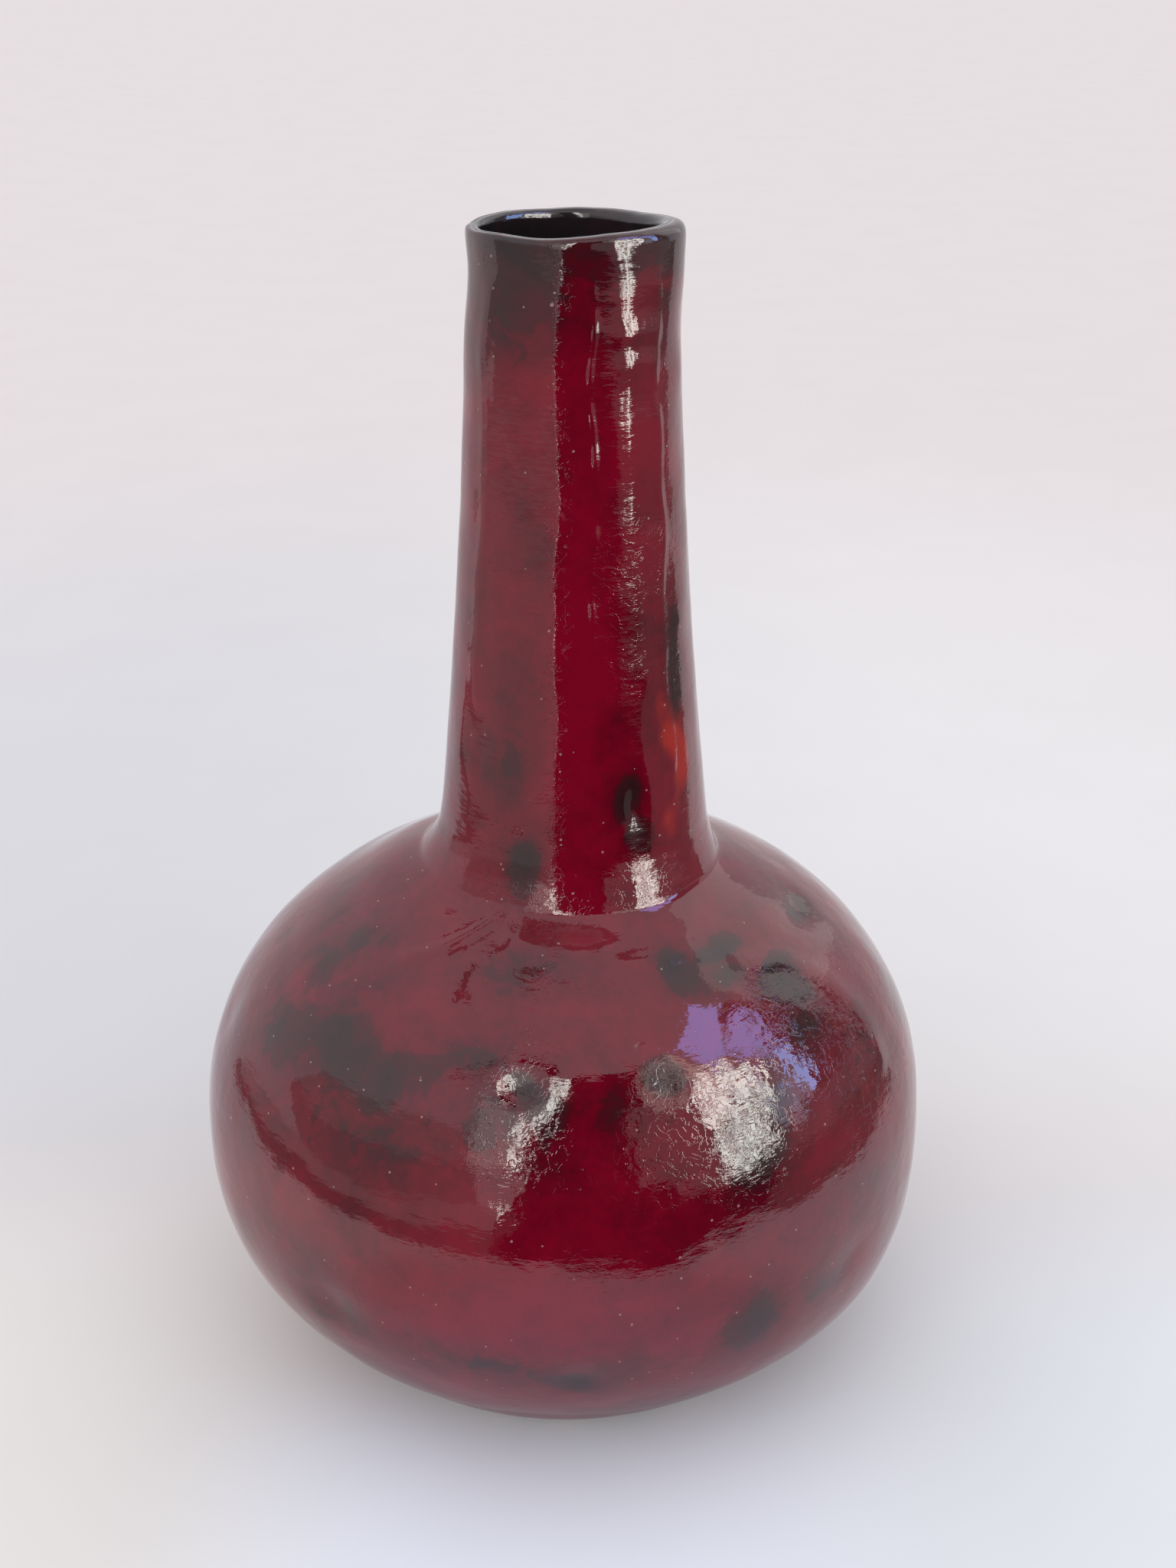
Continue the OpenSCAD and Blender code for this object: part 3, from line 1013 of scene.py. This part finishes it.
def glaze_pieces(red, dark):
    """The two coats. Each is a thin shell with its own back, and they meet on the lip's crest.

    Returns the face that the clay has under the glaze, the mean heights of its rings and the
    number of the crest's ring.
    """
    outer, outer_a, outer_h = outer_surface()
    inner, inner_a, inner_h = inner_surface()
    crest = len(outer)
    a = np.concatenate([outer_a, inner_a[1:]])
    h = np.concatenate([outer_h, inner_h[1:]])
    points = with_marks(np.concatenate([outer, inner[1:]]), a, h, crest)
    normals = grid_normals(points)
    back = (points[:crest] - normals[:crest] * GLAZE)[::-1]
    back = np.concatenate([back[:-1][::COARSE], back[-1:]])
    coat = solid("outer_glaze", [points[:crest], back], True, red)
    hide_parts("outer_glaze")
    paint_glaze(coat, points[:crest], a[:crest], h[:crest])
    wet = points[crest - 1 :]
    behind = wet - normals[crest - 1 :] * GLAZE
    lining = solid("liner_glaze", [wet[::-1], behind], False, dark)
    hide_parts("liner_glaze")
    return points - normals * CLAY_UNDER, h.mean(1), crest


def paint_glaze(coat, points, a, h):
    """Keeps the painted fields on the outer face. Its back is never seen."""
    clouds = cloud_field(a, h, CLOUDS, points)
    lip = lip_darkness(points, a, h)
    soot_and_shade = np.maximum(clouds, lip) + OVERLAP * np.minimum(clouds, lip)
    # Painted shade round the dents, less painted sheen inside them
    painted_dent_shade = cloud_field(a, h, SHADED_RIMS, points) - cloud_field(a, h, SHEEN_IN_HOLLOWS, points)
    skin = SKIN + uneven(points, *SKIN_UNEVEN)
    crest = ease(h - HEIGHT + CREST_DEPTH) * (CREST + uneven(points, *CREST_UNEVEN))
    fields = {
        "soot_and_shade": np.maximum(soot_and_shade, painted_dent_shade) - cloud_field(a, h, CLEAR, points),
        "ember": cloud_field(a, h, EMBERS, points),
        "grain": skin + cloud_field(a, h, GRAIN, points),
        "crest": np.clip(crest, 0, 1),
    }
    unseen = len(coat.data.vertices) - points.shape[0] * points.shape[1]
    for name, values in fields.items():
        paint(coat, name, np.concatenate([np.ravel(values), np.zeros(unseen)]))


def dress():
    """Every piece of the vase. The foot and the two inner coils keep their own solids."""
    red, dark, clay = red_glaze(), dark_glaze(), fired_clay()
    clay_face, ring_h, crest = glaze_pieces(red, dark)
    clay_pieces(clay_face, ring_h, crest, clay)
    for name in ("foot_slab", "floor_coil", "seam_coil"):
        node = frame["nodes"][name]
        node.data.materials.clear()
        node.data.materials.append(clay)


# The camera, where the photograph was taken from
CAMERA_X = 5.95
CAMERA_BACK = 412.5
CAMERA_UP = 346.2
CAMERA_TILT = 25.49
FOCAL_SHARE = 2516 / 2048
SENSOR = 36.0
CLIP_START = 0.01


def camera():
    """A camera that shows the vase as the photograph does."""
    data = bpy.data.cameras.new("camera")
    data.sensor_fit = "VERTICAL"
    data.sensor_height = SENSOR
    data.sensor_width = SENSOR
    data.lens = FOCAL_SHARE * SENSOR
    data.clip_start = CLIP_START
    eye = bpy.data.objects.new("camera", data)
    eye.location = (CAMERA_X * MM, -CAMERA_BACK * MM, CAMERA_UP * MM)
    eye.rotation_euler = (math.radians(90 - CAMERA_TILT), 0, 0)
    bpy.context.scene.collection.objects.link(eye)
    bpy.context.scene.camera = eye


# Heights and reach of the stage, in metres: the point that the cards stand round, the sheets
# just above the floor, the dim patch overhead and the floor itself
BELLY_EYE = 0.09
SHEET_Z = 0.001
OVERHEAD_Z = 2.1
FLOOR_REACH = 6.0

# Steps along each side of a curved card
CARD_STEPS = 10


def stage_mesh(name, points, faces, material):
    mesh = bpy.data.meshes.new(name)
    mesh.from_pydata(points, [], faces)
    mesh.materials.append(material)
    thing = bpy.data.objects.new(name, mesh)
    bpy.context.scene.collection.objects.link(thing)
    return thing


def only_reflected(name, points, faces, material):
    """A mesh of the stage that shows in the glaze, and nowhere else."""
    thing = stage_mesh(name, points, faces, material)
    thing.visible_camera = False
    thing.visible_diffuse = False
    thing.visible_shadow = False
    thing.visible_transmission = False


def seen_from_belly(turn, rise, distance):
    """A place on the stage, from its turn and elevation in radians as seen from the belly."""
    flat = distance * math.cos(rise)
    height = BELLY_EYE + distance * math.sin(rise)
    return flat * math.sin(turn), -flat * math.cos(turn), height


def card(name, corners, distance, material):
    """A curved card with four corners, each a turn and an elevation as seen from the belly.

    Turns are from the camera's side, right positive. The corners go round the card.
    """
    a, b, c, d = np.array(corners, float)
    points = []
    for i in range(CARD_STEPS + 1):
        for j in range(CARD_STEPS + 1):
            s, t = i / CARD_STEPS, j / CARD_STEPS
            turn, rise = np.radians((a * (1 - s) + b * s) * (1 - t) + (d * (1 - s) + c * s) * t)
            points.append(seen_from_belly(turn, rise, distance))
    n = CARD_STEPS + 1
    faces = [
        (i * n + j, i * n + j + 1, (i + 1) * n + j + 1, (i + 1) * n + j)
        for i in range(CARD_STEPS)
        for j in range(CARD_STEPS)
    ]
    only_reflected(name, points, faces, material)


def pane(name, corners, distance, material):
    """A card of one face with any number of corners, each a turn and an elevation as above."""
    turns = np.radians(np.array(corners, float))
    points = [seen_from_belly(turn, rise, distance) for turn, rise in turns]
    only_reflected(name, points, [tuple(range(len(points)))], material)


def sheet(name, outline_points, height, material):
    """A flat sheet at a height. Its outline gives x and y in metres."""
    points = [(x, y, height) for x, y in outline_points]
    only_reflected(name, points, [tuple(range(len(points)))], material)


def glow(name, colour, strength):
    """Light of one tone from a whole card."""
    n = Nodes(bpy.data.materials.new(name))
    return n.surface(n.add("Emission", {"Color": colour, "Strength": strength}))


def broken_glow(name, stops, strength, size_mm):
    """Light from a place with bright and dim parts, such as a window with trees behind it."""
    n = material_nodes(name)
    colour = n.ramp(n.noise(size_mm, 4, 0.6, 0.5), stops)
    return n.surface(n.add("Emission", {"Color": colour, "Strength": strength}))


# Tones of the floor, which paint light and shade on it: far away; behind the vase, painted shade
# on its left and painted light on its right; before it, warm painted light on its left and cool
# painted light on its right; and a cool painted light in the shadow at its foot
PAPER_FAR = (0.810, 0.735, 0.700, 1)
SHADED_PAPER_LEFT = (0.735, 0.715, 0.705, 1)
LIT_PAPER_RIGHT = (0.860, 0.820, 0.790, 1)
WARM_LIT_NEAR_LEFT = (0.870, 0.820, 0.760, 1)
COOL_LIT_NEAR_RIGHT = (0.855, 0.860, 0.855, 1)
COOL_LIT_FOOT_SHADOW = (0.930, 0.945, 0.985, 1)

# Painted shadow: the floor in front is dimmer in the glaze, round this spot
REFLECTED_SHADOW_SPOT = (0.0, -0.15, 0.0)
REFLECTED_SHADOW_TINT = (0.75, 0.73, 0.75, 1)


def floor_material():
    """Pale paper with painted light and shade in tones that fade into each other over places given
    in metres, and a painted shadow in front that only the glaze sees.
    """
    n = material_nodes("paper")
    place = n.add("SeparateXYZ", {"Vector": n.place})
    x, y = place.outputs["X"], place.outputs["Y"]
    away = n.add("VectorMath", {0: n.place}, operation="LENGTH").outputs["Value"]
    # Painted shade behind the vase on its left, and painted light on its right
    sides = n.mix(n.fade(x, -0.2, 0.2), SHADED_PAPER_LEFT, LIT_PAPER_RIGHT)
    behind = n.times(n.fade(away, 1.0, 0.3), n.fade(y, -0.02, 0.12))
    colour = n.mix(behind, PAPER_FAR, sides)
    # Painted light before the vase: warm on its left, cool on its right
    near = n.mix(n.fade(x, -0.09, 0.09), WARM_LIT_NEAR_LEFT, COOL_LIT_NEAR_RIGHT)
    nearness = n.times(n.fade(away, 0.9, 0.3), n.fade(y, 0.08, -0.03))
    colour = n.mix(nearness, colour, near)
    # A cool painted light in the shadow at the foot
    front = n.times(n.fade(y, -0.02, -0.07), n.fade(away, 0.30, 0.13))
    front = n.times(front, n.fade(n.math("ABSOLUTE", x), 0.11, 0.03))
    colour = n.mix(front, colour, COOL_LIT_FOOT_SHADOW)
    # Painted shadow of the vase on the floor in front, which only the glaze sees
    off = n.add("VectorMath", {0: n.place, 1: REFLECTED_SHADOW_SPOT}, operation="DISTANCE")
    rays = n.add("LightPath")
    dim = n.fade(off.outputs["Value"], 0.16, 0.09)
    dim = n.times(dim, rays.outputs["Is Glossy Ray"])
    colour = n.mix(dim, colour, REFLECTED_SHADOW_TINT, "MULTIPLY")
    mottle = n.fade(n.noise(60, 3), 0.3, 0.7, 0.985, 1.0)
    colour = n.mix(1.0, colour, mottle, "MULTIPLY")
    return n.surface(n.add("BsdfDiffuse", {"Color": colour}))


# The unseen room, in plain tones: colour and strength of the light
TONES = {
    "shade": ((1, 0.9, 0.9, 1), 0.012),
    "dusk": ((1, 0.95, 0.95, 1), 0.24),
    "haze": ((1, 0.93, 0.93, 1), 0.42),
    "mist": ((1, 0.96, 0.96, 1), 0.55),
    "violet_sky": ((0.43, 0.45, 1.0, 1), 4.6),
    "blue_sky": ((0.34, 0.50, 1.0, 1), 6.5),
    "grey_frame": ((0.75, 0.78, 0.95, 1), 1.7),
    "tan_frame": ((0.95, 0.85, 0.75, 1), 2.6),
    "bright_wall": ((1.0, 0.97, 0.97, 1), 1.25),
    "pale_wall": ((1.0, 0.98, 0.97, 1), 1.35),
}

# Tones with bright and dim parts: colours, strength and the size of the parts in millimetres
DIM = (0.09, 0.085, 0.08, 1)
ROSY = (0.42, 0.28, 0.27, 1)
WHITE = (0.97, 1.0, 0.93, 1)
BROKEN_TONES = {
    "window_view": (((0.42, DIM), (0.45, ROSY), (0.50, WHITE)), 10.0, 80),
    "between": (((0.42, DIM), (0.50, WHITE)), 1.5, 30),
    "lamp": (((0.42, DIM), (0.46, ROSY), (0.50, WHITE)), 10.0, 26),
}

# The edge of the white sheet in front, where the glaze starts to reflect the dark room
SHEET_EDGE = (
    (-0.082, -0.262), (-0.029, -0.261), (0.024, -0.248), (0.076, -0.222),
    (0.163, -0.222), (0.235, -0.190), (0.255, -0.133), (0.285, -0.080),
    (0.320, 0.035), (0.335, 0.130),
)

# The line where the shade in front meets that on the right, and the far ends of both
SHADE_LINE = ((0.46, -0.255), (0.60, -0.36), (0.56, -0.62), (1.9, -3.6))
FRONT_END = (-1.15, -4.0)
RIGHT_ENDS = ((2.6, 1.5), (3.2, -3.0))

# The edges of the dim band on the left, next to the vase and away from it
BAND_INNER = (
    (-0.42, 0.20), (-0.36, 0.06), (-0.305, -0.022), (-0.255, -0.087),
    (-0.205, -0.165), (-0.152, -0.222), (-0.110, -0.236), (-0.070, -0.262),
)
BAND_OUTER = (
    (-0.10, -0.42), (-0.20, -0.38), (-0.27, -0.33), (-0.38, -0.22),
    (-0.46, -0.10), (-0.50, 0.06), (-0.60, 0.28),
)
HAZE_ENDS = ((-1.3, 0.45), (-1.3, -0.5), (-0.8, -1.1), (-0.25, -1.3))

# A gap in the pale floor on the right, and the dim patch overhead
RIGHT_GAP = ((0.56, 0.24), (0.72, 0.20), (0.70, -0.06), (0.54, -0.02))
OVERHEAD = (
    (-0.40, 0.02), (-0.20, -0.05), (0.00, -0.03), (0.25, 0.08),
    (0.40, 0.22), (0.52, 0.34), (0.68, 0.40), (0.70, 0.52),
    (0.40, 0.60), (0.00, 0.62), (-0.40, 0.56), (-0.47, 0.25),
)

# Flat sheets: outline, height and tone
SHEETS = {
    "front_shade": (SHEET_EDGE[:6] + SHADE_LINE + (FRONT_END,), SHEET_Z, "shade"),
    "right_shade": (SHEET_EDGE[5:] + RIGHT_ENDS + SHADE_LINE[::-1], SHEET_Z, "dusk"),
    "right_gap": (RIGHT_GAP, SHEET_Z, "dusk"),
    "left_band": (BAND_INNER + BAND_OUTER, SHEET_Z, "dusk"),
    "left_haze": (BAND_OUTER + HAZE_ENDS, SHEET_Z, "mist"),
    "overhead": (OVERHEAD, OVERHEAD_Z, "dusk"),
}

# The window, as turns and elevations
WINDOW = ((40, 30), (51, 44), (64, 42), (75, 36), (72, 22), (66, 6), (60, 1), (52, -5), (40, 0))

# Cards round the vase: form, distance in metres, tone and corners, as turns and elevations
CARDS = {
    "haze_left": (card, 1.25, "haze", ((-88, 10), (-22, 16), (-20, -5), (-84, -5))),
    "mist_left": (card, 1.25, "mist", ((-80, 22), (-24, 30), (-22, 16), (-88, 10))),
    "dark_middle": (card, 0.9, "shade", ((-3, 53), (40, 51), (25, -25), (-15, -25))),
    "dark_top": (card, 0.9, "shade", ((-22, 60), (-3, 59), (-3, 52), (-22, 56))),
    "haze_low": (card, 1.6, "haze", ((24, 14), (108, 22), (112, -12), (24, -5))),
    "beam_0": (card, 2.0, "dusk", ((-131, 52), (-128, 51), (-126, 69), (-136, 69))),
    "beam_1": (card, 2.0, "dusk", ((-108, 65), (-88, 65), (-88, 68), (-108, 68))),
    "beam_2": (card, 2.0, "dusk", ((-46, 45), (-44, 48), (-28, 59), (-30, 55))),
    "window": (pane, 1.3, "window_view", WINDOW),
    "sky_left": (pane, 1.35, "violet_sky", ((56, 53), (85, 60), (90, 52), (72, 44), (63, 43))),
    "sky_middle": (pane, 1.35, "violet_sky", ((70, 43), (89, 47), (94, 42), (91, 39), (79, 36))),
    "sky_right": (pane, 1.40, "blue_sky", ((82, 36), (88, 34), (86, 12), (80, 11), (78, 20))),
    "frame_side": (pane, 1.40, "grey_frame", ((69, 11), (76, 24), (79, 17), (75, 6))),
    "frame_top": (pane, 1.25, "tan_frame", ((42, 49), (47, 52), (57, 43), (51, 42))),
    "dark_wall": (pane, 1.6, "dusk", ((80, 52), (95, 48), (104, 26), (109, 6), (86, 8))),
    "between_high": (card, 0.86, "between", ((28, 50), (43, 50), (41, 34), (28, 36))),
    "between_low": (card, 0.87, "haze", ((19, 37), (43, 37), (41, 1), (17, 5))),
    "bright_wall": (card, 1.7, "bright_wall", ((100, 56), (150, 56), (140, 8), (106, 26))),
    "lamp_top": (card, 0.88, "lamp", ((-9, 53), (3, 52), (-4, 30), (-11, 31))),
    "lamp_low": (card, 0.88, "lamp", ((-12, 33), (-8, 32), (-11, 12), (-15, 12))),
    "lamp_foot": (card, 0.88, "lamp", ((-15, -1), (-13, -1), (-15, -7), (-17, -7))),
    "pale_wall": (card, 0.92, "pale_wall", ((-29, 44), (-9, 46), (-12, 12), (-27, 14))),
}


def stage():
    """The floor, and the sheets and cards of the unseen room that the glaze reflects."""
    r = FLOOR_REACH
    floor = [(-r, -r, 0), (r, -r, 0), (r, r, 0), (-r, r, 0)]
    stage_mesh("floor", floor, [(0, 1, 2, 3)], floor_material())
    tones = {name: glow(name, *tone) for name, tone in TONES.items()}
    for name, tone in BROKEN_TONES.items():
        tones[name] = broken_glow(name, *tone)
    for name, (outline_points, height, tone) in SHEETS.items():
        sheet(name, outline_points, height, tones[tone])
    for name, (form, distance, tone, corners) in CARDS.items():
        form(name, corners, distance, tones[tone])


# The light all round: where it is strongest, and how far it fades to the other side
LIGHT_FROM = (-0.15, -0.70, 0.70)
LIGHT_FADE = (-0.8, 0.9)
WARM_SIDE = (0.49, 0.47, 0.45, 1)
COOL_SIDE = (1.13, 1.17, 1.28, 1)

# The plain tones that the glaze and the camera see instead of it
MIRRORED = (0.775, 0.765, 0.80, 1)
BACKDROP = (0.780, 0.733, 0.749, 1)


def world():
    """Soft light all round, cooler and stronger from above in front, and plain when seen."""
    n = Nodes(bpy.data.worlds.new("studio"))
    bpy.context.scene.world = n.block
    inputs = {0: n.add("TexCoord").outputs["Generated"], 1: LIGHT_FROM}
    towards = n.add("VectorMath", inputs, operation="DOT_PRODUCT")
    tint = n.mix(n.fade(towards.outputs["Value"], *LIGHT_FADE), WARM_SIDE, COOL_SIDE)
    shown = n.add("Background", {"Color": tint})
    rays = n.add("LightPath")
    for ray, colour in (("Is Glossy Ray", MIRRORED), ("Is Camera Ray", BACKDROP)):
        plain = n.add("Background", {"Color": colour})
        inputs = {"Fac": rays.outputs[ray], 1: shown.outputs[0], 2: plain.outputs[0]}
        shown = n.add("MixShader", inputs)
    n.surface(shown, "OutputWorld")


camera()
stage()
world()
dress()
bpy.context.scene.view_settings.view_transform = "Standard"
